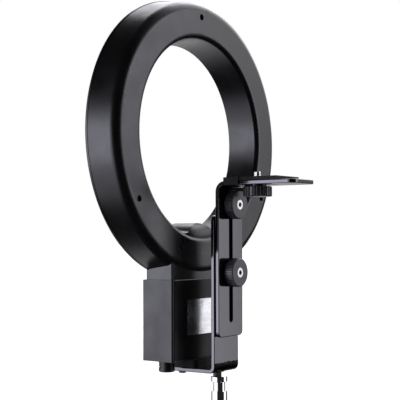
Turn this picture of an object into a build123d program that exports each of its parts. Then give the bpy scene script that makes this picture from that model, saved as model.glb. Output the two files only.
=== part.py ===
from build123d import *
import math
import os

# LED ring light on a slotted double bracket, in millimetres.
# X is to the right seen from behind, Y is the way the light shines, Z is up.
# The origin is the centre of the bottom face of the stand spigot.

# Ring head
ring_outer_radius = 140.0
ring_band_width = 44.0
ring_depth = 34.4
ring_outer_draft = 5.0
ring_inner_draft = 4.0
ring_outer_corner = 9.5
ring_inner_corner = 5.5
ring_wall = 2.5
ring_box_gap = 0.2
ring_back_y = 17.0
hump_radius = 30.0
hump_height = 13.0
hump_blend = 12.0
hump_setback = 4.0
hump_dome_depth = 8.0
rim_depth = 3.0
rim_band = 3.0
rim_lip = 3.2
rim_lip_thickness = 1.2
diffuser_crown = 3.4
diffuser_skin = 2.0
carrier_thickness = 2.0
carrier_margin = 5.0
carrier_setback = 20.4
led_board_thickness = 1.6
led_size = 5.0
led_height = 1.6
led_row_count = 36
led_row_gap = 12.0
ring_screw_inset = 18.8
ring_screw_turn = 1.6
ring_screw_count = 3
ring_screw_mouth = 0.6
ring_screw_sink = 3.0
screw_post_wall = 3.0
hex_socket_radius = 1.2
hex_socket_depth = 2.2

# Neck and driver box
neck_inset = 2.1
neck_rise = 22.0
neck_setback = 2.5
neck_floor = 6.0
neck_corner = 1.5
box_width = 105.0
neck_screw_edge = 3.0
neck_screw_gap = 1.0
case_post_wall = 2.0
box_depth = 36.0
box_height = 78.6
box_wall = 2.5
box_corner = 1.2
box_setback = 1.0
cover_inset = 1.5
cover_thickness = 1.6
cover_lip = 2.0
cover_lip_depth = 2.5
cover_corner = 0.6
wire_opening_width = 30.0
wire_opening_depth = 12.0
label_width = 46.0
label_height = 34.8
label_thickness = 0.3
label_drop = 19.6
label_side = 20.7
label_corner = 1.0

# Driver board and what is on it
board_side_gap = 14.5
board_height = 50.0
board_clearance = 3.0
board_thickness = 1.6
board_standoff = 9.0
standoff_radius = 3.0
standoff_margin = 1.0
component_margin = 9.0
capacitor_gap = 4.0
transformer_width = 26.0
transformer_height = 24.0
transformer_depth = 16.0
transformer_drop = 4.0
transformer_window_share = 0.22
transformer_window_height_share = 0.62
winding_overhang = 2.0
capacitor_radius = 6.0
capacitor_length = 15.0
capacitor_rises = (0.16, -0.2)
chip_length = 12.0
chip_height = 2.4
chip_places = ((0.395, 0.18), (0.276, -0.41), (-0.29, -0.41))
terminal_width = 18.0
terminal_height = 9.0
terminal_depth = 15.0
terminal_margin = 2.0
lead_overlap = 12.0
wire_radius = 1.1
wire_spacing = 8.0

# Dimmer and power inlet, under the box
dimmer_inset = 13.6
dimmer_back_shift = 1.2
dimmer_radius = 7.8
dimmer_height = 10.4
dimmer_gap = 0.5
dimmer_shaft_radius = 3.0
dimmer_bush_radius = 3.6
dimmer_bush_length = 2.6
dimmer_nut_size = 10.0
dimmer_nut_thickness = 1.8
dimmer_body_radius = 8.0
dimmer_body_length = 9.0
dimmer_end_wall = 2.0
dimmer_face = 2.5
dimmer_groove_width = 1.2
dimmer_groove_rise = 4.37
dimmer_waist_width = 0.9
dimmer_waist_drop = 3.4
dimmer_groove_depth = 0.9
pointer_width = 1.0
pointer_depth = 0.5
pointer_start = 2.0
inlet_flange_radius = 6.5
inlet_flange_thickness = 1.6
inlet_body_radius = 5.0
inlet_body_length = 13.0
inlet_bore_radius = 2.8
inlet_pin_radius = 1.0
inlet_end_wall = 3.0
inlet_pin_inset = 1.6

# Straps and brackets
strap_width = 42.0
strap_thickness = 4.0
strap_corner = 5.0
strap_edge_round = 0.8
upper_bend_radius = 6.0
lower_bend_radius = 2.5
lower_strap_rise = 153.0
lower_leg_reach = 55.6
strap_back_y = -9.2
leg_gap = 8.2
slide_gap = 1.5
slide_washer_radius = 8.5
slide_washer_clearance = 0.1
slot_width = 6.6
slot_length = 118.0
slot_bottom_margin = 13.5
platform_knob_gap = 4.35
platform_reach = 83.8
platform_corner = 7.0
platform_slot_length = 32.0
platform_slot_start = 22.4
pad_thickness = 3.5
pad_start = 6.4
pad_length = 58.4
pad_skirt_length = 17.0
pad_skirt_wall = 1.2
leg_pad_back_reach = 4.0
leg_pad_end_gap = 1.0
leg_pad_corner = 5.0
leg_screw_spread = 26.0
leg_screw_back_shift = 1.0

# Knobs and fasteners
knob_radius = 14.0
knob_thickness = 9.8
knob_ridges = 40
knob_ridge_share = 0.9
knob_bevel = 0.8
camera_knob_ridges = 26
insert_radius = 4.7
insert_bore_radius = 2.4
insert_bore_depth = 7.0
clamp_stud_radius = 2.9
clamp_stud_length = 14.0
washer_radius = 8.5
washer_thickness = 1.2
lower_knob_rise = 97.4
upper_knob_rise = 163.5
clamp_nut_size = 13.0
clamp_nut_thickness = 4.0
clamp_nut_corner = 1.0
camera_screw_back = 31.2
camera_thread_radius = 3.175
camera_thread_length = 5.5
camera_neck_radius = 2.8
screw_radius = 1.5
screw_head_radius = 2.5
screw_head_height = 1.8
leg_screw_radius = 2.0
leg_screw_head_radius = 3.8
leg_screw_head_height = 2.6
leg_socket_radius = 1.7
leg_socket_depth = 2.6
nut_thickness = 3.0

# Stand spigot
spigot_radius = 7.94
spigot_body_length = 25.0
spigot_waist_radius = 6.0
spigot_waist_length = 9.0
spigot_collar_length = 5.5
spigot_stud_radius = 3.175
spigot_neck_gap = 4.5
spigot_collar_radius = 8.2
spigot_stud_stand = 1.0
spigot_nut_size = 10.0

# Clearances
running_gap = 0.06
hole_gap = 0.15
fit_gap = 0.2

# Heights and planes that follow from the sizes above
spigot_top = spigot_body_length + spigot_waist_length + spigot_collar_length
leg_bottom = spigot_top + spigot_neck_gap
leg_top = leg_bottom + strap_thickness
box_bottom = leg_top + leg_gap
box_top = box_bottom + box_height
ring_centre = box_top + ring_box_gap + ring_outer_radius
ring_inner_radius = ring_outer_radius - ring_band_width
ring_screw_circle = ring_outer_radius - ring_screw_inset
ring_front_y = ring_back_y + ring_depth
seam_y = ring_front_y - rim_depth
box_back_y = ring_back_y + box_setback
box_front_y = box_back_y + box_depth
cover_back_y = box_back_y - cover_thickness
neck_back_y = ring_back_y + neck_setback
neck_width = box_width - 2 * neck_inset
neck_top = ring_centre - ring_outer_radius + neck_rise
board_width = box_width - 2 * board_side_gap
dimmer_side = box_width / 2 - dimmer_inset
carrier_front_y = ring_front_y - carrier_setback
carrier_back_y = carrier_front_y - carrier_thickness
led_board_front_y = carrier_front_y + led_board_thickness
board_front_y = box_front_y - box_wall - board_standoff
board_back_y = board_front_y - board_thickness
lower_strap_top = leg_bottom + lower_strap_rise
leg_front_y = strap_back_y + lower_leg_reach
slider_front_y = strap_back_y - slide_gap
slider_back_y = slider_front_y - strap_thickness
lower_knob_z = leg_bottom + lower_knob_rise
upper_knob_z = leg_bottom + upper_knob_rise
slot_top_z = upper_knob_z + clamp_stud_radius + hole_gap
slot_bottom_z = slot_top_z - slot_length
slider_bottom = slot_bottom_z - slot_bottom_margin
platform_bottom = upper_knob_z + knob_radius + platform_knob_gap
platform_top = platform_bottom + strap_thickness
upper_strap_height = platform_top - slider_bottom
platform_back_y = slider_front_y - platform_reach - strap_thickness
pad_top = platform_top + pad_thickness
pad_front_y = slider_back_y - pad_start
camera_screw_y = slider_back_y - camera_screw_back
camera_knob_top = platform_bottom - washer_thickness
camera_knob_bottom = camera_knob_top - knob_thickness
dimmer_y = (box_back_y + box_front_y) / 2 - dimmer_back_shift
leg_screw_y = (box_back_y + box_front_y) / 2 - leg_screw_back_shift


def block(x_from, x_to, y_from, y_to, z_from, z_to):
    middle = Pos((x_from + x_to) / 2, (y_from + y_to) / 2, (z_from + z_to) / 2)
    return middle * Box(x_to - x_from, y_to - y_from, z_to - z_from)


def rod_y(radius, y_from, y_to, x=0.0, z=0.0):
    rod = Rot(90, 0, 0) * Cylinder(radius, abs(y_to - y_from))
    return Pos(x, (y_from + y_to) / 2, z) * rod


def rod_z(radius, z_from, z_to, x=0.0, y=0.0):
    return Pos(x, y, (z_from + z_to) / 2) * Cylinder(radius, abs(z_to - z_from))


def hexagon_z(across_flats, z_from, z_to, x=0.0, y=0.0):
    outline = RegularPolygon(across_flats / 2, 6, major_radius=False)
    return Pos(x, y, z_from) * extrude(outline, z_to - z_from)


def hex_socket(radius, depth):
    # Centred on its own mouth, so half of its length is cut into the screw's head.
    return extrude(RegularPolygon(radius, 6), depth / 2, both=True)


def plane_facing_back(y, z=0.0):
    # Local x is +X and local y is +Z, and the plane's normal is -Y.
    return Plane(origin=(0, y, z), x_dir=(1, 0, 0), z_dir=(0, -1, 0))


def outer_radius_at(y):
    return ring_outer_radius - ring_outer_draft * (ring_front_y - y) / ring_depth


def inner_radius_at(y):
    return ring_inner_radius + ring_inner_draft * (ring_front_y - y) / ring_depth


def around_ring(angle, radius):
    x = radius * math.cos(math.radians(angle))
    z = ring_centre + radius * math.sin(math.radians(angle))
    return x, z


def corners_at(face, x, y):
    return [v for v in face.vertices() if abs(v.X - x) + abs(v.Y - y) < 0.01]


def ring_section(points, corner_point=None, corner=0.0):
    # Points are (radius, y) pairs, revolved about the ring's axis.
    face = make_face(Polyline(*points, close=True))
    if corner_point:
        face = fillet(corners_at(face, *corner_point), corner)
    return revolve(Pos(0, 0, ring_centre) * face, Axis((0, 0, ring_centre), (0, 1, 0)), 360)


def hole_outline(radius, inset):
    # The hole through the ring, with the hump that rises into it at the bottom.
    hump_centre = -(ring_inner_radius + ring_inner_draft / 2) + hump_height - hump_radius
    outline = Rot(0, 0, 90) * Circle(radius) - Pos(0, hump_centre) * Circle(hump_radius - inset)
    corners = [v for v in outline.vertices() if v.Y < -radius / 2]
    return fillet(corners, hump_blend + inset)


def hump_pocket(inset):
    # Clears the hump's back. The ring's rounded inner edge runs on in front of it, and from
    # there the hump rises towards the middle of the hole as a low dome.
    back_y = ring_back_y + inset
    corner = ring_inner_corner - inset / 2
    setback = hump_setback * corner / ring_inner_corner
    lean = math.atan(ring_inner_draft / ring_depth)
    middle_r = inner_radius_at(back_y) + inset + corner * math.tan((math.pi / 2 - lean) / 2)
    middle_y = back_y + corner
    end_angle = math.asin((corner - setback) / corner)
    half_angle = (math.pi / 2 + end_angle) / 2
    half = (middle_r - corner * math.cos(half_angle), middle_y - corner * math.sin(half_angle))
    end = (middle_r - corner * math.cos(end_angle), back_y + setback)
    rise = hump_height + ring_inner_draft
    dome_half = (end[0] - rise * 0.71, end[1] + hump_dome_depth * 0.29)
    dome_top = (end[0] - rise, end[1] + hump_dome_depth)
    outline = [
        ThreePointArc((middle_r, back_y), half, end),
        ThreePointArc(end, dome_half, dome_top),
        Line(dome_top, (0, dome_top[1])),
        Line((0, dome_top[1]), (0, back_y - 1)),
        Line((0, back_y - 1), (middle_r, back_y - 1)),
        Line((middle_r, back_y - 1), (middle_r, back_y)),
    ]
    axis = Axis((0, 0, ring_centre), (0, 1, 0))
    return revolve(Pos(0, 0, ring_centre) * make_face(outline), axis, 360)


def hole_core(inset, y_from, y_to):
    outlines = []
    for y in (y_from, y_to):
        outline = hole_outline(inner_radius_at(y) + inset, inset)
        outlines.append(plane_facing_back(y, ring_centre) * outline)
    return loft(outlines, ruled=True)


def ring_form(inset, y_to):
    back_y = ring_back_y + inset
    back_radius = outer_radius_at(back_y) - inset
    front_radius = outer_radius_at(y_to) - inset
    points = [(0, back_y), (back_radius, back_y), (front_radius, y_to), (0, y_to)]
    disc = ring_section(points, points[1], ring_outer_corner - inset)
    return disc - hole_core(inset, back_y - 1, y_to + 1) - hump_pocket(inset)


def ring_rear_shell():
    half = neck_width / 2
    neck = block(-half, half, neck_back_y, ring_front_y, box_top, neck_top)
    neck = fillet(neck.edges().filter_by(Axis.Z), neck_corner)
    neck -= rod_y(ring_outer_radius + running_gap, seam_y, ring_front_y + 1, 0, ring_centre)
    shell = ring_form(0, seam_y) + neck
    shell -= ring_form(ring_wall, seam_y + 1)
    inner_half = half - ring_wall
    inner_back = neck_back_y + ring_wall
    floor = box_top + neck_floor
    shell -= block(-inner_half, inner_half, inner_back, seam_y - ring_wall, floor, neck_top + 1)
    half_wire = wire_opening_width / 2
    wire_front = inner_back + wire_opening_depth
    shell -= block(-half_wire, half_wire, inner_back, wire_front, box_top - 1, neck_top)
    ledge_outer = outer_radius_at(seam_y) - ring_wall / 2
    ledge_inner = ring_outer_radius - rim_band - rim_lip
    ledge_back = seam_y - rim_band / 2
    ledge = [
        (ledge_inner, ledge_back),
        (ledge_outer, ledge_back),
        (ledge_outer, seam_y),
        (ledge_inner, seam_y),
    ]
    shell += ring_section(ledge)
    for x, z in ring_screw_places():
        shell += rod_y(screw_head_radius + screw_post_wall, ring_back_y + 1, carrier_back_y, x, z)
        head_floor = ring_back_y + ring_screw_sink + screw_head_height
        recess = screw_head_radius + hole_gap
        shell -= rod_y(recess, ring_back_y - 1, head_floor, x, z)
        mouth = Cone(recess, recess + ring_screw_mouth, ring_screw_mouth)
        shell -= Pos(x, ring_back_y + ring_screw_mouth / 2, z) * Rot(90, 0, 0) * mouth
        shell -= rod_y(screw_radius + hole_gap, head_floor - 1, carrier_back_y + 1, x, z)
    for x, y in neck_screw_places():
        shell -= rod_z(screw_radius + hole_gap, box_top - 1, box_top + neck_floor - 1, x, y)
    return shell


def ring_screw_places():
    places = []
    for index in range(ring_screw_count):
        angle = 90 + ring_screw_turn + index * 360 / ring_screw_count
        places.append(around_ring(angle, ring_screw_circle))
    return places


def ring_screws():
    screws = []
    head_back = ring_back_y + ring_screw_sink
    head_front = head_back + screw_head_height
    for x, z in ring_screw_places():
        screw = rod_y(screw_head_radius, head_back, head_front, x, z)
        screw += rod_y(screw_radius, head_front, carrier_front_y, x, z)
        socket = hex_socket(hex_socket_radius, hex_socket_depth)
        screw -= Pos(x, head_back, z) * Rot(90, 0, 0) * socket
        screws.append(screw)
    return screws


def carrier_radii():
    outer = outer_radius_at(carrier_back_y) - ring_wall - carrier_margin / 2
    inner = inner_radius_at(carrier_back_y) + ring_wall + carrier_margin / 2
    return inner, outer


def led_carrier_plate():
    inner, outer = carrier_radii()
    plate = rod_y(outer, carrier_back_y, carrier_front_y, 0, ring_centre)
    plate -= rod_y(inner, carrier_back_y - 1, carrier_front_y + 1, 0, ring_centre)
    for x, z in ring_screw_places():
        plate -= rod_y(screw_radius + hole_gap, carrier_back_y - 1, carrier_front_y + 1, x, z)
    return plate


def led_board():
    inner, outer = carrier_radii()
    board = rod_y(outer - 1, carrier_front_y, led_board_front_y, 0, ring_centre)
    return board - rod_y(inner + 1, carrier_front_y - 1, led_board_front_y + 1, 0, ring_centre)


def led_packages():
    inner, outer = carrier_radii()
    middle = (inner + outer) / 2
    packages = []
    for row, radius in enumerate((middle - led_row_gap / 2, middle + led_row_gap / 2)):
        for index in range(led_row_count):
            angle = (index + row / 2) * 360 / led_row_count
            x, z = around_ring(angle, radius)
            package = Box(led_size, led_height, led_size)
            y = led_board_front_y + led_height / 2
            packages.append(Pos(x, y, z) * Rot(0, -angle, 0) * package)
    return packages


def front_outer_rim():
    outer = ring_outer_radius
    wall = outer - rim_band
    lip = wall - rim_lip
    lip_y = ring_front_y - rim_lip_thickness
    points = [
        (wall, seam_y),
        (outer, seam_y),
        (outer, ring_front_y),
        (lip, ring_front_y),
        (lip, lip_y),
        (wall, lip_y),
    ]
    return ring_section(points, points[2], rim_lip_thickness)


def front_inner_rim():
    # It follows the hole, hump included, and its lip reaches out over the diffuser's edge.
    lip_y = ring_front_y - rim_lip_thickness
    inside = hole_core(0, seam_y - 1, ring_front_y + 1)
    band = hole_core(rim_band, seam_y, ring_front_y) - inside
    lip_radius = ring_inner_radius + rim_band + rim_lip
    lip = rod_y(lip_radius, lip_y, ring_front_y, 0, ring_centre) - inside
    return band + lip


def diffuser():
    # An opal ring: two flat edges that the rims hold, and a low crown between them.
    outer = ring_outer_radius - rim_band - fit_gap
    inner = ring_inner_radius + rim_band + 1.5 * fit_gap + ring_inner_draft * rim_depth / ring_depth
    crown_outer = outer - rim_lip - 2 * fit_gap
    crown_inner = inner + rim_lip + 2 * fit_gap
    middle = (crown_outer + crown_inner) / 2
    base = seam_y
    edge_y = ring_front_y - rim_lip_thickness
    top = edge_y + diffuser_crown
    front = ThreePointArc((crown_inner, edge_y), (middle, top), (crown_outer, edge_y))
    back = ThreePointArc((crown_inner, base), (middle, top - diffuser_skin), (crown_outer, base))
    sides = [
        Line((inner, edge_y), (crown_inner, edge_y)),
        Line((crown_outer, edge_y), (outer, edge_y)),
        Line((outer, edge_y), (outer, base)),
        Line((outer, base), (crown_outer, base)),
        Line((crown_inner, base), (inner, base)),
        Line((inner, base), (inner, edge_y)),
    ]
    face = make_face([front, back] + sides)
    return revolve(Pos(0, 0, ring_centre) * face, Axis((0, 0, ring_centre), (0, 1, 0)), 360)


def neck_screw_places():
    x = neck_width / 2 - ring_wall - screw_head_radius - neck_screw_edge
    y_back = neck_back_y + ring_wall + screw_head_radius + neck_screw_gap
    y_front = seam_y - ring_wall - screw_head_radius - neck_screw_gap
    return [(side * x, y) for side in (-1, 1) for y in (y_back, y_front)]


def neck_screws():
    screws = []
    head_top = box_top - box_wall
    for x, y in neck_screw_places():
        screw = rod_z(screw_head_radius, head_top - screw_head_height, head_top, x, y)
        screw += rod_z(screw_radius, head_top, box_top + neck_floor - 1, x, y)
        screws.append(screw)
    return screws


def case_screw_places():
    x = box_width / 2 - box_wall - screw_head_radius - neck_screw_edge
    z_low = inlet_top() + board_clearance + screw_head_radius + case_post_wall
    z_high = box_top - box_wall - board_clearance - screw_head_radius - case_post_wall
    return [(side * x, z) for side in (-1, 1) for z in (z_low, z_high)]


def case_post_back_y():
    return box_back_y + cover_lip_depth + fit_gap


def driver_box():
    half = box_width / 2
    box = block(-half, half, box_back_y, box_front_y, box_bottom, box_top)
    box = fillet(box.edges().filter_by(Axis.Z), box_corner)
    box -= block(
        -half + box_wall,
        half - box_wall,
        box_back_y - 1,
        box_front_y - box_wall,
        box_bottom + box_wall,
        box_top - box_wall,
    )
    half_wire = wire_opening_width / 2
    wire_back = neck_back_y + ring_wall
    wire_front = wire_back + wire_opening_depth
    box -= block(-half_wire, half_wire, wire_back, wire_front, box_top - 2 * box_wall, box_top + 1)
    head_back = box_front_y - 2 * screw_head_height
    for x, z in case_screw_places():
        post_front = box_front_y - box_wall / 2
        box += rod_y(screw_head_radius + case_post_wall, case_post_back_y(), post_front, x, z)
        box -= rod_y(screw_head_radius + hole_gap, head_back, box_front_y + 1, x, z)
        box -= rod_y(screw_radius + hole_gap, box_back_y, box_front_y, x, z)
    low = box_bottom - 1
    high = box_bottom + 2 * box_wall
    for x, y in neck_screw_places():
        box -= rod_z(screw_radius + hole_gap, box_top - 2 * box_wall, box_top + 1, x, y)
    for x in (-leg_screw_spread / 2, leg_screw_spread / 2):
        box -= rod_z(leg_screw_radius + hole_gap, low, high, x, leg_screw_y)
    box -= rod_z(dimmer_bush_radius + hole_gap, low, high, -dimmer_side, dimmer_y)
    box -= rod_z(inlet_body_radius + hole_gap, low, high, dimmer_side, dimmer_y)
    return box


def driver_box_cover():
    half = box_width / 2 - cover_inset
    cover = block(-half, half, cover_back_y, box_back_y, box_bottom + cover_inset / 2, box_top)
    cover = chamfer(cover.faces().sort_by(Axis.Y)[0].edges(), cover_corner)
    lip_half = box_width / 2 - box_wall - fit_gap
    lip_low = box_bottom + box_wall + fit_gap
    lip_high = box_top - box_wall - fit_gap
    lip_front = box_back_y + cover_lip_depth
    lip = block(-lip_half, lip_half, box_back_y, lip_front, lip_low, lip_high)
    lip -= block(
        -lip_half + cover_lip,
        lip_half - cover_lip,
        box_back_y,
        lip_front,
        lip_low + cover_lip,
        lip_high - cover_lip,
    )
    cover += lip
    for x, z in case_screw_places():
        post_back = box_back_y - cover_thickness / 4
        cover += rod_y(screw_head_radius + case_post_wall, post_back, case_post_back_y(), x, z)
        cover -= rod_y(screw_radius + hole_gap, box_back_y, case_post_back_y() + 1, x, z)
    return cover


def case_screws():
    screws = []
    head_back = box_front_y - 2 * screw_head_height
    for x, z in case_screw_places():
        screw = rod_y(screw_head_radius, head_back, head_back + screw_head_height, x, z)
        screw += rod_y(screw_radius, box_back_y + hole_gap, head_back, x, z)
        screws.append(screw)
    return screws


def rating_label():
    right = label_width - box_width / 2 + label_side + cover_inset
    left = right - label_width
    top = box_top - label_drop
    back = cover_back_y - label_thickness
    plate = block(left, right, back, cover_back_y, top - label_height, top)
    return fillet(plate.edges().filter_by(Axis.Y), label_corner)


def inlet_top():
    return box_bottom + inlet_body_length


def board_middle_z():
    return inlet_top() + board_clearance + board_height / 2


def driver_board():
    half = board_width / 2
    low = board_middle_z() - board_height / 2
    return block(-half, half, board_back_y, board_front_y, low, low + board_height)


def board_standoffs():
    x = board_width / 2 - standoff_radius - component_margin
    z_offset = board_height / 2 - standoff_radius - standoff_margin
    posts = []
    for side in (-1, 1):
        for level in (-1, 1):
            z = board_middle_z() + level * z_offset
            posts.append(rod_y(standoff_radius, board_front_y, box_front_y - box_wall, side * x, z))
    return posts


def transformer_middle_z():
    return board_middle_z() - transformer_drop


def driver_transformer():
    z = transformer_middle_z()
    half = transformer_width / 2
    top = z + transformer_height / 2
    bottom = z - transformer_height / 2
    core = block(-half, half, board_back_y - transformer_depth, board_back_y, bottom, top)
    window = transformer_window_share * transformer_width
    cut = Box(window, 2 * transformer_depth, transformer_height * transformer_window_height_share)
    for side in (-1, 1):
        core -= Pos(side * (half - window), board_back_y - transformer_depth / 2, z) * cut
    return core


def driver_winding():
    z = transformer_middle_z()
    height = transformer_height * transformer_window_height_share
    window = transformer_window_share * transformer_width
    leg_half = transformer_width / 2 - 1.5 * window
    outer = leg_half + window - fit_gap
    depth = transformer_depth + winding_overhang
    y_middle = board_back_y - depth / 2 - fit_gap
    coil = Pos(0, y_middle, z) * Box(2 * outer, depth, height - fit_gap)
    coil = fillet(coil.edges().filter_by(Axis.Z), 1.5)
    core = Box(2 * leg_half + fit_gap, transformer_depth + fit_gap, height + 2)
    return coil - Pos(0, board_back_y - transformer_depth / 2, z) * core


def driver_capacitors():
    cans = []
    high, low = capacitor_rises
    for side, rise in ((-1, high), (-1, low), (1, low)):
        x = side * (transformer_width / 2 + capacitor_gap + capacitor_radius)
        z = board_middle_z() + rise * board_height
        can = rod_y(capacitor_radius, board_back_y - capacitor_length, board_back_y, x, z)
        cans.append(chamfer(can.edges().sort_by(Axis.Y)[0], 0.6))
    return cans


def driver_chips():
    chips = []
    chip = Box(chip_length, chip_height, chip_length / 2)
    for across, rise in chip_places:
        x = across * board_width
        z = board_middle_z() + rise * board_height
        chips.append(Pos(x, board_back_y - chip_height / 2, z) * chip)
    return chips


def terminal_top():
    return board_middle_z() + board_height / 2 - terminal_margin


def output_terminal():
    half = terminal_width / 2
    top = terminal_top()
    return block(-half, half, board_back_y - terminal_depth, board_back_y, top - terminal_height, top)


def led_leads():
    # Two leads run straight down from the back of the carrier plate through the neck.
    y = carrier_back_y - wire_radius
    inner, outer = carrier_radii()
    top = ring_centre - outer + lead_overlap
    x = wire_spacing / 2
    return [rod_z(wire_radius, terminal_top(), top, side * x, y) for side in (-1, 1)]


def dimmer_pot():
    floor = box_bottom + box_wall
    top = floor + dimmer_body_length
    bush_low = box_bottom - dimmer_bush_length
    bore = dimmer_shaft_radius + running_gap
    pot = rod_z(dimmer_body_radius, floor, top, -dimmer_side, dimmer_y)
    pot += rod_z(dimmer_bush_radius, bush_low, floor, -dimmer_side, dimmer_y)
    return pot - rod_z(bore, bush_low - 1, top - dimmer_end_wall, -dimmer_side, dimmer_y)


def dimmer_nut():
    top = box_bottom
    low = top - dimmer_nut_thickness
    bore = dimmer_bush_radius + running_gap
    nut = hexagon_z(dimmer_nut_size, low, top, -dimmer_side, dimmer_y)
    return nut - rod_z(bore, low - 1, top + 1, -dimmer_side, dimmer_y)


def dimmer_shaft():
    top = box_bottom + box_wall + dimmer_body_length - dimmer_end_wall - fit_gap
    bottom = box_bottom - dimmer_gap - dimmer_height + dimmer_face
    return rod_z(dimmer_shaft_radius, bottom, top, -dimmer_side, dimmer_y)


def dimmer_groove(low, width):
    groove = rod_z(dimmer_radius + 1, low, low + width, -dimmer_side, dimmer_y)
    core = rod_z(dimmer_radius - dimmer_groove_depth, low - 1, low + width + 1, -dimmer_side, dimmer_y)
    return groove - core


def dimmer_knob():
    top = box_bottom - dimmer_gap
    bottom = top - dimmer_height
    knob = rod_z(dimmer_radius, bottom, top, -dimmer_side, dimmer_y)
    knob = chamfer(knob.edges().sort_by(Axis.Z)[0], knob_bevel)
    knob -= dimmer_groove(bottom + dimmer_groove_rise, dimmer_groove_width)
    knob -= dimmer_groove(top - dimmer_waist_drop, dimmer_waist_width)
    # The hollow clears the nut's corners and the end of the bush.
    hollow = dimmer_nut_size / math.cos(math.radians(30)) / 2 + 2 * fit_gap
    knob -= rod_z(hollow, top - dimmer_bush_length - dimmer_gap, top + 1, -dimmer_side, dimmer_y)
    knob -= rod_z(dimmer_shaft_radius, bottom + dimmer_face, top, -dimmer_side, dimmer_y)
    pointer_back = dimmer_y - dimmer_radius
    pointer_middle = Pos(-dimmer_side, (pointer_back + dimmer_y - pointer_start) / 2, bottom)
    pointer = Box(pointer_width, dimmer_radius - pointer_start, 2 * pointer_depth)
    return knob - pointer_middle * pointer


def power_inlet():
    floor = box_bottom
    mouth = floor - inlet_flange_thickness
    end = floor + inlet_body_length - inlet_end_wall
    inlet = rod_z(inlet_flange_radius, mouth, floor, dimmer_side, dimmer_y)
    inlet += rod_z(inlet_body_radius, floor, floor + inlet_body_length, dimmer_side, dimmer_y)
    inlet -= rod_z(inlet_bore_radius, mouth - 1, end, dimmer_side, dimmer_y)
    return inlet + rod_z(inlet_pin_radius, mouth + inlet_pin_inset, end + 1, dimmer_side, dimmer_y)


def inlet_nut():
    floor = box_bottom + box_wall
    top = floor + nut_thickness
    bore = inlet_body_radius + running_gap
    nut = hexagon_z(2.6 * inlet_body_radius, floor, top, dimmer_side, dimmer_y)
    return nut - rod_z(bore, floor - 1, top + 1, dimmer_side, dimmer_y)


def bent_strap(y_of_bend, z_of_bend, y_way, z_way, leg_length, upright_length, bend_radius):
    # A flat strap bent once, drawn as the outline of its edge and pushed out to its width.
    # The outer corner of the bend is at (y_of_bend, z_of_bend), and the radius is the inner one.
    t = strap_thickness
    edge = [
        (0, 0),
        (leg_length * y_way, 0),
        (leg_length * y_way, t * z_way),
        (t * y_way, t * z_way),
        (t * y_way, upright_length * z_way),
        (0, upright_length * z_way),
    ]
    face = make_face(Polyline(*[(y_of_bend + y, z_of_bend + z) for y, z in edge], close=True))
    face = fillet(corners_at(face, y_of_bend, z_of_bend), bend_radius + t)
    face = fillet(corners_at(face, y_of_bend + t * y_way, z_of_bend + t * z_way), bend_radius)
    side = Plane(origin=(-strap_width / 2, 0, 0), x_dir=(0, 1, 0), z_dir=(1, 0, 0))
    return extrude(side * face, strap_width)


def round_corners(strap, axis, place, radius):
    # Rounds the strap's two free corners that lie on one end face.
    ends = [e for e in strap.edges().filter_by(axis) if place(e @ 0.5)]
    return fillet(ends, radius)


def soften_edges(strap):
    # Rounds the strap's long edges. Left alone are the short edges across its thickness and the
    # lines along X where a flat runs into the bend.
    edges = []
    for edge in strap.edges():
        across = edge.geom_type == GeomType.LINE and abs(edge.length - strap_thickness) < 0.01
        along_bend = abs(edge.length - strap_width) < 0.01 and abs((edge @ 1).X - (edge @ 0).X) > 1
        if not across and not along_bend:
            edges.append(edge)
    return fillet(edges, strap_edge_round)


def slot_y(width, length, z_middle, y_from, y_to):
    outline = SlotOverall(length, width, rotation=90)
    return extrude(plane_facing_back(y_to, z_middle) * outline, y_to - y_from)


def slot_z(width, length, y_middle, z_from, z_to):
    outline = SlotOverall(length, width, rotation=90)
    return Pos(0, y_middle, z_from) * extrude(outline, z_to - z_from)


def lower_bracket():
    rise = lower_strap_rise
    strap = bent_strap(strap_back_y, leg_bottom, 1, 1, lower_leg_reach, rise, lower_bend_radius)
    strap = round_corners(strap, Axis.Y, lambda p: p.Z > lower_strap_top - 1, strap_corner)
    strap = round_corners(strap, Axis.Z, lambda p: p.Y > leg_front_y - 1, strap_corner)
    strap = soften_edges(strap)
    strap_front_y = strap_back_y + strap_thickness
    bore = clamp_stud_radius + running_gap
    strap -= rod_y(bore, strap_back_y - 1, strap_front_y + 1, 0, lower_knob_z)
    strap -= rod_z(spigot_stud_radius + running_gap, leg_bottom - 1, leg_top + 1)
    for x in (-leg_screw_spread / 2, leg_screw_spread / 2):
        strap -= rod_z(leg_screw_radius + hole_gap, leg_bottom - 1, leg_top + 1, x, leg_screw_y)
    return strap


def clamp_nut(back_y, z):
    # A square nut with its back face at back_y.
    front_y = back_y + clamp_nut_thickness
    half = clamp_nut_size / 2
    nut = block(-half, half, back_y, front_y, z - half, z + half)
    nut = chamfer(nut.edges().filter_by(Axis.Y), clamp_nut_corner)
    return nut - rod_y(clamp_stud_radius + running_gap, back_y - 1, front_y + 1, 0, z)


def leg_pad():
    # The block that fills the space between the strap's foot and the box.
    half = strap_width / 2
    back_y = box_back_y - leg_pad_back_reach
    front_y = leg_front_y - leg_pad_end_gap
    pad = block(-half, half, back_y, front_y, leg_top, box_bottom)
    pad = fillet(pad.edges().filter_by(Axis.Z), leg_pad_corner)
    for x in (-leg_screw_spread / 2, leg_screw_spread / 2):
        pad -= rod_z(leg_screw_radius + hole_gap, leg_top - 1, box_bottom + 1, x, leg_screw_y)
    return pad


def slide_washer():
    # Sits between the two straps, round the lower clamp's stud.
    back_y = slider_front_y + slide_washer_clearance
    ring = rod_y(slide_washer_radius, back_y, strap_back_y, 0, lower_knob_z)
    bore = clamp_stud_radius + running_gap
    return ring - rod_y(bore, back_y - 1, strap_back_y + 1, 0, lower_knob_z)


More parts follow.
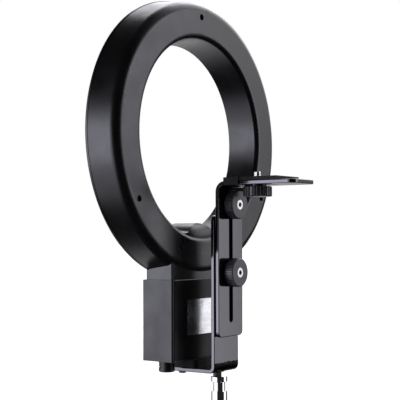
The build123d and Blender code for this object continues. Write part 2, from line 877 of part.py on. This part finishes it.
def leg_screws():
    screws = []
    top = box_bottom + box_wall + nut_thickness + 1
    for x in (-leg_screw_spread / 2, leg_screw_spread / 2):
        screw = rod_z(leg_screw_radius, leg_bottom, top, x, leg_screw_y)
        head = rod_z(leg_screw_head_radius, leg_bottom - leg_screw_head_height, leg_bottom, x, leg_screw_y)
        screw += fillet(head.edges().sort_by(Axis.Z)[0], 1.2)
        socket = hex_socket(leg_socket_radius, leg_socket_depth)
        screws.append(screw - Pos(x, leg_screw_y, leg_bottom - leg_screw_head_height) * socket)
    return screws


def leg_nuts():
    nuts = []
    floor = box_bottom + box_wall
    top = floor + nut_thickness
    for x in (-leg_screw_spread / 2, leg_screw_spread / 2):
        nut = hexagon_z(3.5 * leg_screw_radius, floor, top, x, leg_screw_y)
        nut -= rod_z(leg_screw_radius + running_gap, floor - 1, top + 1, x, leg_screw_y)
        nuts.append(nut)
    return nuts


def stand_spigot():
    waist_low = spigot_body_length
    waist_top = waist_low + spigot_waist_length
    body = rod_z(spigot_radius, 0, waist_low)
    waist = rod_z(spigot_waist_radius, waist_low, waist_top)
    collar = rod_z(spigot_collar_radius, waist_top, spigot_top)
    collar = chamfer(collar.edges().filter_by(GeomType.CIRCLE), 0.6)
    stud = rod_z(spigot_stud_radius, spigot_top, leg_top + spigot_stud_stand)
    return body + waist + collar + stud


def spigot_nut():
    nut = hexagon_z(spigot_nut_size, spigot_top, leg_bottom)
    return nut - rod_z(spigot_stud_radius + running_gap, spigot_top - 1, leg_bottom + 1)


def camera_bracket():
    reach = platform_reach + strap_thickness
    height = upper_strap_height
    strap = bent_strap(slider_front_y, platform_top, -1, -1, reach, height, upper_bend_radius)
    strap = round_corners(strap, Axis.Y, lambda p: p.Z < slider_bottom + 1, strap_corner)
    strap = round_corners(strap, Axis.Z, lambda p: p.Y < platform_back_y + 1, platform_corner)
    strap = soften_edges(strap)
    slot_middle = (slot_top_z + slot_bottom_z) / 2
    strap -= slot_y(slot_width, slot_length, slot_middle, slider_back_y - 1, slider_front_y + 1)
    strap -= platform_slot(slot_width, platform_bottom - 1, platform_top + 1)
    return strap


def platform_slot(width, z_from, z_to):
    middle_y = slider_back_y - platform_slot_start - platform_slot_length / 2
    return slot_z(width, platform_slot_length, middle_y, z_from, z_to)


def camera_pad():
    half = strap_width / 2
    back_y = pad_front_y - pad_length
    skirt_back_y = pad_front_y - pad_skirt_length
    inner = half + fit_gap
    outer = inner + pad_skirt_wall
    pad = block(-half, half, back_y, pad_front_y, platform_top, pad_top)
    skirt = block(-outer, outer, skirt_back_y, pad_front_y, platform_bottom, pad_top)
    skirt -= block(-inner, inner, back_y, pad_front_y + 1, platform_bottom - 1, platform_top)
    pad += skirt
    return pad - platform_slot(slot_width + 2, platform_top - 1, pad_top + 1)


def ridged_disc(ridges):
    # A round grip whose edge is cut by evenly spaced grooves.
    outline = Circle(knob_radius)
    groove_radius = math.pi * knob_radius / ridges / 2
    groove_depth = knob_ridge_share * groove_radius
    for index in range(ridges):
        angle = math.radians(index * 360 / ridges)
        reach = knob_radius + groove_radius - groove_depth
        outline -= Pos(reach * math.cos(angle), reach * math.sin(angle)) * Circle(groove_radius)
    disc = extrude(outline, knob_thickness)
    wide = knob_radius + knob_thickness - knob_bevel
    cone = Cone(wide, knob_radius - knob_bevel, knob_thickness)
    upper = Pos(0, 0, knob_thickness / 2) * cone
    lower = Pos(0, 0, knob_thickness / 2) * Rot(180, 0, 0) * cone
    return disc & upper & lower


def clamp_knob(z):
    # The grip's outer face points to -Y. The metal insert sits in its middle.
    knob = ridged_disc(knob_ridges) - Cylinder(insert_radius, 3 * knob_thickness)
    return plane_facing_back(slider_back_y - washer_thickness, z) * knob


def clamp_stud(z):
    front_y = slider_back_y - washer_thickness
    back_y = front_y - knob_thickness
    stud = rod_y(insert_radius, back_y, front_y, 0, z)
    stud -= rod_y(insert_bore_radius, back_y - 1, back_y + insert_bore_depth, 0, z)
    return stud + rod_y(clamp_stud_radius, front_y, front_y + clamp_stud_length, 0, z)


def clamp_washer(z):
    back_y = slider_back_y - washer_thickness
    ring = rod_y(washer_radius, back_y, slider_back_y, 0, z)
    return ring - rod_y(clamp_stud_radius, back_y - 1, slider_back_y + 1, 0, z)


def camera_knob():
    knob = ridged_disc(camera_knob_ridges) - Cylinder(insert_radius, 3 * knob_thickness)
    return Pos(0, camera_screw_y, camera_knob_bottom) * knob


def camera_screw():
    y = camera_screw_y
    screw = rod_z(insert_radius, camera_knob_bottom, camera_knob_top, 0, y)
    bore_top = camera_knob_bottom + insert_bore_depth
    screw -= rod_z(insert_bore_radius, camera_knob_bottom - 1, bore_top, 0, y)
    screw += rod_z(camera_neck_radius, camera_knob_top, pad_top, 0, y)
    thread = rod_z(camera_thread_radius, pad_top, pad_top + camera_thread_length, 0, y)
    return screw + chamfer(thread.edges().sort_by(Axis.Z)[-1], 0.5)


def camera_screw_washer():
    bore = camera_neck_radius + running_gap
    ring = rod_z(washer_radius, camera_knob_top, platform_bottom, 0, camera_screw_y)
    return ring - rod_z(bore, camera_knob_top - 1, platform_bottom + 1, 0, camera_screw_y)


PIECES = {
    "ring_rear_shell": ring_rear_shell,
    "ring_screws": ring_screws,
    "led_carrier_plate": led_carrier_plate,
    "led_board": led_board,
    "led_packages": led_packages,
    "front_outer_rim": front_outer_rim,
    "front_inner_rim": front_inner_rim,
    "diffuser": diffuser,
    "led_leads": led_leads,
    "neck_screws": neck_screws,
    "driver_box": driver_box,
    "driver_box_cover": driver_box_cover,
    "case_screws": case_screws,
    "rating_label": rating_label,
    "driver_board": driver_board,
    "board_standoffs": board_standoffs,
    "driver_transformer": driver_transformer,
    "driver_winding": driver_winding,
    "driver_capacitors": driver_capacitors,
    "driver_chips": driver_chips,
    "output_terminal": output_terminal,
    "dimmer_pot": dimmer_pot,
    "dimmer_nut": dimmer_nut,
    "dimmer_shaft": dimmer_shaft,
    "dimmer_knob": dimmer_knob,
    "power_inlet": power_inlet,
    "inlet_nut": inlet_nut,
    "lower_bracket": lower_bracket,
    "lower_clamp_nut": lambda: clamp_nut(strap_back_y + strap_thickness, lower_knob_z),
    "slide_washer": slide_washer,
    "leg_pad": leg_pad,
    "leg_screws": leg_screws,
    "leg_nuts": leg_nuts,
    "stand_spigot": stand_spigot,
    "spigot_nut": spigot_nut,
    "camera_bracket": camera_bracket,
    "camera_pad": camera_pad,
    "upper_clamp_nut": lambda: clamp_nut(slider_front_y, upper_knob_z),
    "lower_clamp_knob": lambda: clamp_knob(lower_knob_z),
    "lower_clamp_stud": lambda: clamp_stud(lower_knob_z),
    "lower_clamp_washer": lambda: clamp_washer(lower_knob_z),
    "upper_clamp_knob": lambda: clamp_knob(upper_knob_z),
    "upper_clamp_stud": lambda: clamp_stud(upper_knob_z),
    "upper_clamp_washer": lambda: clamp_washer(upper_knob_z),
    "camera_knob": camera_knob,
    "camera_screw": camera_screw,
    "camera_screw_washer": camera_screw_washer,
}


def build_all():
    os.makedirs("parts", exist_ok=True)
    for name, make in PIECES.items():
        made = make()
        if isinstance(made, list):
            made = Compound(children=made)
        export_step(made, "parts/" + name + ".step")


build_all()
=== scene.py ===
"""Looks for the LED ring light: materials, lamps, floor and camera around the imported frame, in metres."""

import math

import bpy
from mathutils import Matrix, Vector

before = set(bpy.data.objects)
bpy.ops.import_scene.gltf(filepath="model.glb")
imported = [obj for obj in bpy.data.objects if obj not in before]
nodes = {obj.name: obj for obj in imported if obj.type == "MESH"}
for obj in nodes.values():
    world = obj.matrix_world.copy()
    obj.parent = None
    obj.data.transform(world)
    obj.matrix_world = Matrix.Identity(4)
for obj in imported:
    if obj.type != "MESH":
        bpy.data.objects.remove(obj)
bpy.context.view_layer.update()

MM = 0.001

# Camera, solved from the photograph.
IMAGE_PX = 400
FOCAL_PX = 1046.94
SENSOR_MM = 36.0
CAMERA_PLACE = Vector((-0.85319, -0.58674, 0.17690))
CAMERA_AZIMUTH = -54.479
CAMERA_ELEVATION = -1.9775
CAMERA_ROLL = -0.171
CAMERA_NEAR = 0.05
CAMERA_FAR = 100.0

# Softboxes: the way and the distance from the ring's centre, the size of the face and its brightness. One
# that isn't mirrored lights the object without a reflection of its face.
RING_CENTRE = Vector((0.0, 0.034, 0.275))
SOFTBOXES = {
    "left_front": dict(
        toward=(-0.85, 0.52, -0.04), distance=1.3, width=0.9, height=0.7, brightness=2.5
    ),
    "right_back": dict(
        toward=(0.64, -0.76, 0.12), distance=1.8, width=1.1, height=0.95, brightness=1.75, mirrored=False
    ),
    "overhead": dict(
        toward=(0.62, 0.33, 0.71), distance=1.8, width=1.2, height=1.2, brightness=2.3
    ),
}
LAMP_COLOUR = (1.0, 0.99, 1.04)
# Watts for a square metre of a lamp's face at a brightness of one.
LAMP_POWER = 4.0
# Even light from all round on surfaces that aren't polished.
FILL_LEVEL = 0.4

# Floor: pale paper just under the object. To the camera it fades to white with the distance from it.
FLOOR_SIZE = 30.0
FLOOR_DROP = 0.2 * MM
PAPER_COLOUR = (0.9, 0.9, 0.9, 1)
FADE_DISTANCES = (0.3, 0.9)
FADE_GLOW = (0.4, 1.0)

# What polished surfaces see round the object, in a dark room. Each range below has the value at which a part
# of the room starts to show and the value at which it shows in full. Heights are those of a ray's way, whose
# length is one. The other values are cosines of the angle between a ray and the way that is named.
ROOM_LEVEL = 0.02

# A white backdrop on the side away from the camera. It is dimmer round the panel, and nearly dark low down
# straight beyond the object, which gives the chrome its dark outlines.
BACKDROP_LEVEL = 1.0
BACKDROP_SIDE = (0.4, 0.1)
BACKDROP_TOP = (0.62, 0.32)
BACKDROP_BOTTOM = (-0.45, -0.2)
DIM_LEVEL = 0.35
DIM_WAY = Vector((0.81, -0.59, 0.0))
DIM_RANGE = (0.70, 0.80)
BEYOND_LEVEL = 0.08
BEYOND_RANGE = (-0.42, -0.6)
BEYOND_TOP = (0.05, -0.03)

# A lit panel behind on the right, between two bearings in degrees, and brighter towards its top.
PANEL_LEFT = 18.0
PANEL_LEFT_RANGE = (0.0, 0.1)
PANEL_RIGHT = 65.0
PANEL_RIGHT_RANGE = (0.0, 0.28)
PANEL_TOP = (0.45, 0.3)
PANEL_BOTTOM = (-0.22, -0.12)
PANEL_HEIGHTS = (0.02, 0.25)
PANEL_LEVELS = (2.4, 3.3)

# Lit patches: a bright floor beyond the object and on the left, and a part of the ceiling.
LIT_PATCHES = (
    dict(toward=(0.55, 0.65, -0.52), reach=(0.75, 0.95), level=0.95),
    dict(toward=(-0.88, 0.42, -0.22), reach=(0.77, 0.95), level=1.8),
    dict(toward=(0.8, -0.1, 0.56), reach=(0.86, 0.97), level=2.8),
)

# Sizes of the noises are those of one blotch. Most of a noise's values are in this range.
NOISE_RANGE = (0.3, 0.7)

# Worn edges: how rounded the copy is that finds them, the cosines between its normal and the surface's, and
# the patches that the wear comes in.
EDGE_SAMPLES = 4
EDGE_RADIUS = 0.7 * MM
EDGE_RANGE = (0.995, 0.85)
WEAR_PATCH = 4 * MM
WEAR_RANGE = (0.42, 0.62)
WORN_GAIN = 2.2

# Moulded and painted surfaces: blotches of colour, specks in them, and patches of gloss.
CLOUD_SIZE = 45 * MM
SPECK_SIZE = 1.6 * MM
SPECK_RANGE = (0.35, 0.7)
SPECK_STRENGTH = 0.5
GLOSS_PATCH = 22 * MM

# Metal: width of its fine lines, how much darker they are, and patches of gloss.
SCRATCH_SIZE = 0.6 * MM
SCRATCH_SHADE = 0.8
METAL_GLOSS_PATCH = 12 * MM

# Enamel of the lower strap. Painted shade: on the outside of the bend, on the strap's broad faces, up to a
# ragged edge at this height, its coat and specular are turned down in patches, so the foot of the strap
# reads black like a dark reflection.
ENAMEL_COAT = 0.45
ENAMEL_SPECULAR = 0.7
SHADE_SPECULAR = 0.01
BEND_TOP = 54.0 * MM
BEND_EDGE = 0.4 * MM
RAGGED_PATCH = 2.5 * MM
RAGGED_HEIGHT = 0.8 * MM
BEND_OUTSIDE = (-1 * MM, -3 * MM)
BROAD_RANGE = (0.75, 0.55)
SHADE_PATCH_SIZE = 1.2 * MM
SHADE_PATCH_RANGE = (0.58, 0.68)
SHADE_PATCH_LEAST = 0.7

# Opal cover: blotches between two whites, how far light passes into it, and a fine dimple.
OPAL_CLOUD = 60 * MM
OPAL_WHITES = ((0.86, 0.87, 0.86, 1), (0.93, 0.93, 0.91, 1))
OPAL_ROUGHNESS = 0.42
OPAL_DEPTH = (0.004, 0.004, 0.0035)
OPAL_WEIGHT = 0.25
DIMPLE_SIZE = 1.8 * MM
DIMPLE_DEPTH = 0.06 * MM

BLACK = (0.0022, 0.0023, 0.0027)
PALE_BLACK = (0.0055, 0.0056, 0.0064)


def place_camera():
    data = bpy.data.cameras.new("camera")
    data.sensor_width = SENSOR_MM
    data.lens = FOCAL_PX / IMAGE_PX * SENSOR_MM
    data.clip_start = CAMERA_NEAR
    data.clip_end = CAMERA_FAR
    camera = bpy.data.objects.new("camera", data)
    bpy.context.scene.collection.objects.link(camera)
    azimuth = math.radians(CAMERA_AZIMUTH)
    elevation = math.radians(CAMERA_ELEVATION)
    roll = math.radians(CAMERA_ROLL)
    back = Vector((
        math.sin(azimuth) * math.cos(elevation),
        -math.cos(azimuth) * math.cos(elevation),
        math.sin(elevation),
    ))
    level = (-back).cross(Vector((0, 0, 1))).normalized()
    upright = level.cross(-back)
    across = level * math.cos(roll) + upright * math.sin(roll)
    up = upright * math.cos(roll) - level * math.sin(roll)
    turn = Matrix((across, up, back)).transposed().to_4x4()
    camera.matrix_world = Matrix.Translation(CAMERA_PLACE) @ turn
    bpy.context.scene.camera = camera


def place_softbox(name, toward, distance, width, height, brightness, mirrored=True):
    data = bpy.data.lights.new(name, "AREA")
    data.shape = "RECTANGLE"
    data.size = width
    data.size_y = height
    data.color = LAMP_COLOUR
    data.energy = LAMP_POWER * width * height * brightness
    lamp = bpy.data.objects.new(name, data)
    bpy.context.scene.collection.objects.link(lamp)
    way = Vector(toward).normalized()
    lamp.location = RING_CENTRE + way * distance
    lamp.rotation_mode = "QUATERNION"
    lamp.rotation_quaternion = (-way).to_track_quat("-Z", "Y")
    lamp.visible_camera = False
    lamp.visible_glossy = mirrored


class Tree:
    """A node tree with short calls for the few kinds of node that the materials are made from."""

    def __init__(self, tree):
        self.tree = tree
        self.nodes = tree.nodes

    def join(self, value, socket):
        if isinstance(value, bpy.types.NodeSocket):
            self.tree.links.new(value, socket)
        else:
            socket.default_value = value

    def add(self, kind, **settings):
        node = self.nodes.new("ShaderNode" + kind)
        for key, value in settings.items():
            setattr(node, key, value)
        return node

    def math(self, operation, a, b=0.0):
        node = self.add("Math", operation=operation)
        self.join(a, node.inputs[0])
        self.join(b, node.inputs[1])
        return node.outputs[0]

    def times(self, a, b):
        return self.math("MULTIPLY", a, b)

    def larger(self, a, b):
        return self.math("MAXIMUM", a, b)

    def dot(self, vector, other):
        node = self.add("VectorMath", operation="DOT_PRODUCT")
        self.join(vector, node.inputs[0])
        self.join(other, node.inputs[1])
        return node.outputs["Value"]

    def split(self, vector):
        node = self.add("SeparateXYZ")
        self.join(vector, node.inputs[0])
        return node.outputs

    def ranged(self, value, start, full, to_start=0.0, to_full=1.0, smooth=False):
        node = self.add("MapRange")
        if smooth:
            node.interpolation_type = "SMOOTHSTEP"
        self.join(value, node.inputs["Value"])
        node.inputs["From Min"].default_value = start
        node.inputs["From Max"].default_value = full
        node.inputs["To Min"].default_value = to_start
        node.inputs["To Max"].default_value = to_full
        return node.outputs["Result"]

    def mixed(self, factor, a, b):
        # A Mix node has sockets for each kind of data. The numbered ones are those for colours.
        node = self.add("Mix", data_type="RGBA")
        self.join(factor, node.inputs[0])
        self.join(a, node.inputs[6])
        self.join(b, node.inputs[7])
        return node.outputs[2]

    def place(self, stretch=None):
        place = self.add("TexCoord").outputs["Object"]
        if stretch is None:
            return place
        mapping = self.add("Mapping")
        self.join(place, mapping.inputs["Vector"])
        mapping.inputs["Scale"].default_value = stretch
        return mapping.outputs["Vector"]

    def noise(self, size, detail=2.0, stretch=None):
        node = self.add("TexNoise")
        self.join(self.place(stretch), node.inputs["Vector"])
        node.inputs["Scale"].default_value = 1.0 / size
        node.inputs["Detail"].default_value = detail
        return node.outputs["Fac"]

    def drift(self, size, detail, least=0.0, most=1.0):
        # A noise that goes all the way from one value to the other.
        return self.ranged(self.noise(size, detail), *NOISE_RANGE, least, most)

    def worn_edges(self, strength):
        # Where a rounded copy of the surface turns away from the surface itself, there is an edge.
        bevel = self.add("Bevel", samples=EDGE_SAMPLES)
        bevel.inputs["Radius"].default_value = EDGE_RADIUS
        surface = self.add("NewGeometry").outputs["Normal"]
        turned = self.dot(bevel.outputs["Normal"], surface)
        edge = self.ranged(turned, *EDGE_RANGE, 0.0, strength)
        patchy = self.ranged(self.noise(WEAR_PATCH, detail=4.0), *WEAR_RANGE)
        return self.times(edge, patchy)

    def bump(self, heights, depth):
        node = self.add("Bump")
        node.inputs["Distance"].default_value = depth
        self.join(heights, node.inputs["Height"])
        return node.outputs["Normal"]


def new_material(name):
    material = bpy.data.materials.new(name)
    material.use_nodes = True
    tree = Tree(material.node_tree)
    shader = tree.nodes["Principled BSDF"]
    return material, tree, shader


def moulded(
    name, colour, pale, roughness, grain, grain_depth,
    wear=0.5, specular=0.5, coat=0.0, coat_roughness=0.1, spread=0.05, tint=(0.88, 0.88, 1.0),
):
    """Moulded or painted surface: colour and gloss drift slowly, a fine grain, and pale worn edges."""
    material, tree, shader = new_material(name)
    worn = [WORN_GAIN * c for c in pale]
    cloud = tree.drift(CLOUD_SIZE, 3.0)
    speck = tree.ranged(tree.noise(SPECK_SIZE, detail=3.0), *SPECK_RANGE, 0.0, SPECK_STRENGTH)
    base = tree.mixed(tree.times(cloud, speck), (*colour, 1), (*pale, 1))
    base = tree.mixed(tree.worn_edges(wear), base, (*worn, 1))
    tree.join(base, shader.inputs["Base Color"])
    gloss = tree.drift(GLOSS_PATCH, 4.0, roughness - spread, roughness + spread)
    tree.join(gloss, shader.inputs["Roughness"])
    shader.inputs["Specular IOR Level"].default_value = specular
    shader.inputs["Coat Weight"].default_value = coat
    shader.inputs["Coat Roughness"].default_value = coat_roughness
    shader.inputs["Specular Tint"].default_value = (*tint, 1)
    tree.join(tree.bump(tree.noise(grain), grain_depth), shader.inputs["Normal"])
    return material


def enamelled_strap():
    """Glossy enamel, with painted shade where the strap's foot is bent: little coat and specular there."""
    material = moulded(
        "strap", (0.0015, 0.0015, 0.0018), (0.004, 0.004, 0.005), 0.1, 6.0 * MM, 0.01 * MM,
        wear=0.3, specular=ENAMEL_SPECULAR, coat=ENAMEL_COAT, coat_roughness=0.06, spread=0.03,
        tint=(0.8, 0.78, 1.0),
    )
    tree = Tree(material.node_tree)
    shader = tree.nodes["Principled BSDF"]
    where = tree.split(tree.place())
    face = tree.split(tree.add("NewGeometry").outputs["Normal"])
    broad = tree.ranged(tree.math("ABSOLUTE", face["X"]), *BROAD_RANGE)
    raggedness = tree.drift(RAGGED_PATCH, 4.0, -RAGGED_HEIGHT, RAGGED_HEIGHT)
    ragged = tree.math("ADD", where["Z"], raggedness)
    near_bend = tree.ranged(ragged, BEND_TOP + BEND_EDGE, BEND_TOP - BEND_EDGE)
    outside = tree.ranged(where["Y"], *BEND_OUTSIDE)
    # Painted shade: where this mask is full, the coat and specular are turned down so the bend reads black.
    bend_shade = tree.times(broad, tree.times(near_bend, outside))
    patchy_shade = tree.ranged(tree.noise(SHADE_PATCH_SIZE, detail=3.0), *SHADE_PATCH_RANGE, 1.0, SHADE_PATCH_LEAST)
    bend_shade = tree.times(bend_shade, patchy_shade)
    tree.join(tree.ranged(bend_shade, 0.0, 1.0, ENAMEL_COAT, 0.0), shader.inputs["Coat Weight"])
    specular = tree.ranged(bend_shade, 0.0, 1.0, ENAMEL_SPECULAR, SHADE_SPECULAR)
    tree.join(specular, shader.inputs["Specular IOR Level"])
    return material


def metal(name, colour, roughness, stretch=None, depth=0.004 * MM, spread=0.06):
    """Bare or plated metal with fine lines, along one way if stretched, and a drifting gloss."""
    material, tree, shader = new_material(name)
    lines = tree.noise(SCRATCH_SIZE, 3.0, stretch)
    dull = [SCRATCH_SHADE * c for c in colour]
    base = tree.mixed(tree.ranged(lines, *NOISE_RANGE), (*dull, 1), (*colour, 1))
    tree.join(base, shader.inputs["Base Color"])
    gloss = tree.drift(METAL_GLOSS_PATCH, 4.0, roughness - spread, roughness + spread)
    tree.join(gloss, shader.inputs["Roughness"])
    shader.inputs["Metallic"].default_value = 1.0
    tree.join(tree.bump(lines, depth), shader.inputs["Normal"])
    return material


def opal(name):
    """Frosted white cover: light passes a little way into it, and its face has a fine dimple."""
    material, tree, shader = new_material(name)
    cloud = tree.drift(OPAL_CLOUD, 3.0)
    tree.join(tree.mixed(cloud, *OPAL_WHITES), shader.inputs["Base Color"])
    shader.inputs["Roughness"].default_value = OPAL_ROUGHNESS
    shader.inputs["Subsurface Weight"].default_value = OPAL_WEIGHT
    shader.inputs["Subsurface Radius"].default_value = OPAL_DEPTH
    shader.inputs["Subsurface Scale"].default_value = 1.0
    dimple = tree.add("TexVoronoi")
    tree.join(tree.place(), dimple.inputs["Vector"])
    dimple.inputs["Scale"].default_value = 1.0 / DIMPLE_SIZE
    tree.join(tree.bump(dimple.outputs["Distance"], DIMPLE_DEPTH), shader.inputs["Normal"])
    return material


# A material for each slot name in the record. After a moulded one's name come its colour, its paler colour,
# its roughness, and the size and depth of its grain. After a metal's come its colour and its roughness.
MATERIALS = {
    "shell_plastic": moulded("shell", BLACK, PALE_BLACK, 0.3, 0.8 * MM, 0.012 * MM, wear=0.25),
    "rim_plastic": moulded("rim", BLACK, PALE_BLACK, 0.31, 0.8 * MM, 0.012 * MM, wear=0.3),
    "box_plastic": moulded(
        "box", (0.004, 0.0041, 0.0046), (0.009, 0.0092, 0.01), 0.38, 1.1 * MM, 0.03 * MM, wear=0.3
    ),
    "cover_plastic": moulded(
        "cover", (0.0006, 0.0006, 0.0008), BLACK, 0.34, 1.0 * MM, 0.006 * MM,
        wear=0.15, specular=0.22, spread=0.03,
    ),
    "strap_black": enamelled_strap(),
    "knob_black": moulded(
        "knob", (0.012, 0.012, 0.014), (0.03, 0.03, 0.034), 0.33, 0.6 * MM, 0.02 * MM, specular=0.6
    ),
    "dimmer_black": moulded("dimmer", BLACK, PALE_BLACK, 0.4, 0.6 * MM, 0.015 * MM, wear=0.4),
    "pad_rubber": moulded(
        "pad", (0.002, 0.002, 0.0024), (0.005, 0.005, 0.0055), 0.75, 0.9 * MM, 0.08 * MM, wear=0.2
    ),
    "screw_black": moulded(
        "screw", (0.02, 0.02, 0.022), (0.06, 0.06, 0.065), 0.35, 0.5 * MM, 0.01 * MM, wear=0.9
    ),
    "label_silver": metal("label", (0.7, 0.7, 0.75), 0.24, stretch=(0.05, 1.0, 1.0)),
    "bright_steel": metal("steel", (0.72, 0.72, 0.74), 0.28),
    "spigot_chrome": metal("chrome", (0.86, 0.86, 0.88), 0.08, depth=0.002 * MM, spread=0.02),
    "board_metal": metal("board_metal", (0.8, 0.8, 0.8), 0.4),
    "opal_diffuser": opal("opal"),
    "led_board_white": moulded(
        "led_board", (0.8, 0.8, 0.78), (0.9, 0.9, 0.88), 0.5, 1.0 * MM, 0.01 * MM, wear=0.0
    ),
    "led_yellow": moulded(
        "led", (0.8, 0.62, 0.2), (0.9, 0.75, 0.3), 0.35, 1.0 * MM, 0.01 * MM, wear=0.0
    ),
    "board_green": moulded(
        "green_board", (0.02, 0.16, 0.06), (0.05, 0.24, 0.1), 0.3, 1.0 * MM, 0.02 * MM, wear=0.2
    ),
    "component_black": moulded(
        "component", (0.02, 0.02, 0.02), (0.05, 0.05, 0.05), 0.45, 0.5 * MM, 0.02 * MM
    ),
    "capacitor_sleeve": moulded(
        "sleeve", (0.01, 0.015, 0.05), (0.03, 0.04, 0.1), 0.25, 1.5 * MM, 0.01 * MM
    ),
    "ferrite": moulded("ferrite", (0.07, 0.07, 0.075), (0.14, 0.14, 0.15), 0.6, 0.5 * MM, 0.03 * MM),
    "winding_tape": moulded(
        "tape", (0.6, 0.42, 0.03), (0.75, 0.58, 0.08), 0.3, 3.0 * MM, 0.03 * MM, wear=0.1
    ),
    "terminal_green": moulded(
        "terminal", (0.02, 0.25, 0.08), (0.05, 0.35, 0.14), 0.35, 1.0 * MM, 0.01 * MM, wear=0.1
    ),
    "wire_red_black": moulded(
        "lead", (0.4, 0.02, 0.015), (0.5, 0.05, 0.03), 0.4, 1.0 * MM, 0.01 * MM, wear=0.0
    ),
}


def dress_nodes():
    # Each CAD node comes in with one material, named after the record's slot.
    for node in nodes.values():
        for slot in node.material_slots:
            slot.material = MATERIALS[slot.material.name.split(".")[0]]


def place_floor():
    half = FLOOR_SIZE / 2
    corners = [(-half, -half, 0.0), (half, -half, 0.0), (half, half, 0.0), (-half, half, 0.0)]
    mesh = bpy.data.meshes.new("floor")
    mesh.from_pydata(corners, [], [(0, 1, 2, 3)])
    floor = bpy.data.objects.new("floor", mesh)
    bpy.context.scene.collection.objects.link(floor)
    floor.location = (0, 0, -FLOOR_DROP)
    floor.visible_glossy = False
    mesh.materials.append(floor_material())


def floor_material():
    # Paper that takes the shadow, and a glow that only the camera sees.
    material, tree, shader = new_material("floor")
    tree.nodes.remove(shader)
    paper = tree.add("BsdfDiffuse")
    paper.inputs["Color"].default_value = PAPER_COLOUR
    distance = tree.add("VectorMath", operation="LENGTH")
    tree.join(tree.place(), distance.inputs[0])
    fade = tree.ranged(distance.outputs["Value"], *FADE_DISTANCES, *FADE_GLOW, smooth=True)
    glow = tree.add("Emission")
    seen = tree.add("LightPath").outputs["Is Camera Ray"]
    tree.join(tree.times(seen, fade), glow.inputs["Strength"])
    both = tree.add("AddShader")
    tree.join(paper.outputs[0], both.inputs[0])
    tree.join(glow.outputs[0], both.inputs[1])
    tree.join(both.outputs[0], tree.nodes["Material Output"].inputs["Surface"])
    return material


def bearing(degrees):
    # The level way that lies this far to the right of straight back, as seen from behind the light.
    turn = math.radians(degrees)
    return Vector((math.sin(turn), -math.cos(turn), 0.0))


def backdrop_level(tree, heading, height):
    camera_way = Vector((CAMERA_PLACE.x, CAMERA_PLACE.y, 0.0)).normalized()
    to_camera = tree.dot(heading, camera_way)
    away = tree.ranged(to_camera, *BACKDROP_SIDE, smooth=True)
    below_top = tree.ranged(height, *BACKDROP_TOP, smooth=True)
    above_bottom = tree.ranged(height, *BACKDROP_BOTTOM, smooth=True)
    near_panel = tree.ranged(tree.dot(heading, DIM_WAY), *DIM_RANGE, smooth=True)
    shade = tree.ranged(near_panel, 0.0, 1.0, 1.0, DIM_LEVEL)
    beyond = tree.times(tree.ranged(to_camera, *BEYOND_RANGE), tree.ranged(height, *BEYOND_TOP))
    shade = tree.times(shade, tree.ranged(beyond, 0.0, 1.0, 1.0, BEYOND_LEVEL))
    backdrop = tree.times(tree.times(away, shade), tree.times(below_top, above_bottom))
    return tree.times(backdrop, BACKDROP_LEVEL)


def panel_level(tree, heading, height):
    past_left = tree.dot(heading, bearing(PANEL_LEFT + 90.0))
    past_right = tree.dot(heading, bearing(PANEL_RIGHT - 90.0))
    from_left = tree.ranged(past_left, *PANEL_LEFT_RANGE, smooth=True)
    from_right = tree.ranged(past_right, *PANEL_RIGHT_RANGE, smooth=True)
    below_top = tree.ranged(height, *PANEL_TOP, smooth=True)
    above_bottom = tree.ranged(height, *PANEL_BOTTOM, smooth=True)
    panel = tree.times(tree.times(from_left, from_right), tree.times(below_top, above_bottom))
    return tree.times(panel, tree.ranged(height, *PANEL_HEIGHTS, *PANEL_LEVELS))


def patch_level(tree, way, toward, reach, level):
    patch = tree.ranged(tree.dot(way, Vector(toward).normalized()), *reach, smooth=True)
    return tree.times(patch, level)


def mirrored_room(tree):
    """How bright the room is along the way of a mirrored ray."""
    way = tree.add("TexCoord").outputs["Generated"]
    level_part = tree.add("VectorMath", operation="MULTIPLY")
    tree.join(way, level_part.inputs[0])
    level_part.inputs[1].default_value = (1, 1, 0)
    normalised = tree.add("VectorMath", operation="NORMALIZE")
    tree.join(level_part.outputs[0], normalised.inputs[0])
    heading = normalised.outputs[0]
    height = tree.split(way)["Z"]
    room = tree.larger(backdrop_level(tree, heading, height), panel_level(tree, heading, height))
    for patch in LIT_PATCHES:
        room = tree.larger(room, patch_level(tree, way, **patch))
    return tree.larger(room, ROOM_LEVEL)


def make_world():
    # White to the camera and through glass, the room above to polished surfaces, and an even fill otherwise.
    world = bpy.data.worlds.new("studio")
    bpy.context.scene.world = world
    world.use_nodes = True
    world.cycles.sampling_method = "NONE"
    tree = Tree(world.node_tree)
    rays = tree.add("LightPath").outputs
    seen = tree.larger(rays["Is Camera Ray"], rays["Is Transmission Ray"])
    mirrored = tree.times(rays["Is Glossy Ray"], mirrored_room(tree))
    fill = tree.times(rays["Is Diffuse Ray"], FILL_LEVEL)
    level = tree.larger(seen, tree.larger(mirrored, fill))
    tree.join(level, tree.nodes["Background"].inputs["Strength"])
    tree.nodes["Background"].inputs["Color"].default_value = (1, 1, 1, 1)


bpy.context.scene.view_settings.view_transform = "Standard"
place_camera()
make_world()
place_floor()
for box_name, facts in SOFTBOXES.items():
    place_softbox(box_name, **facts)
dress_nodes()
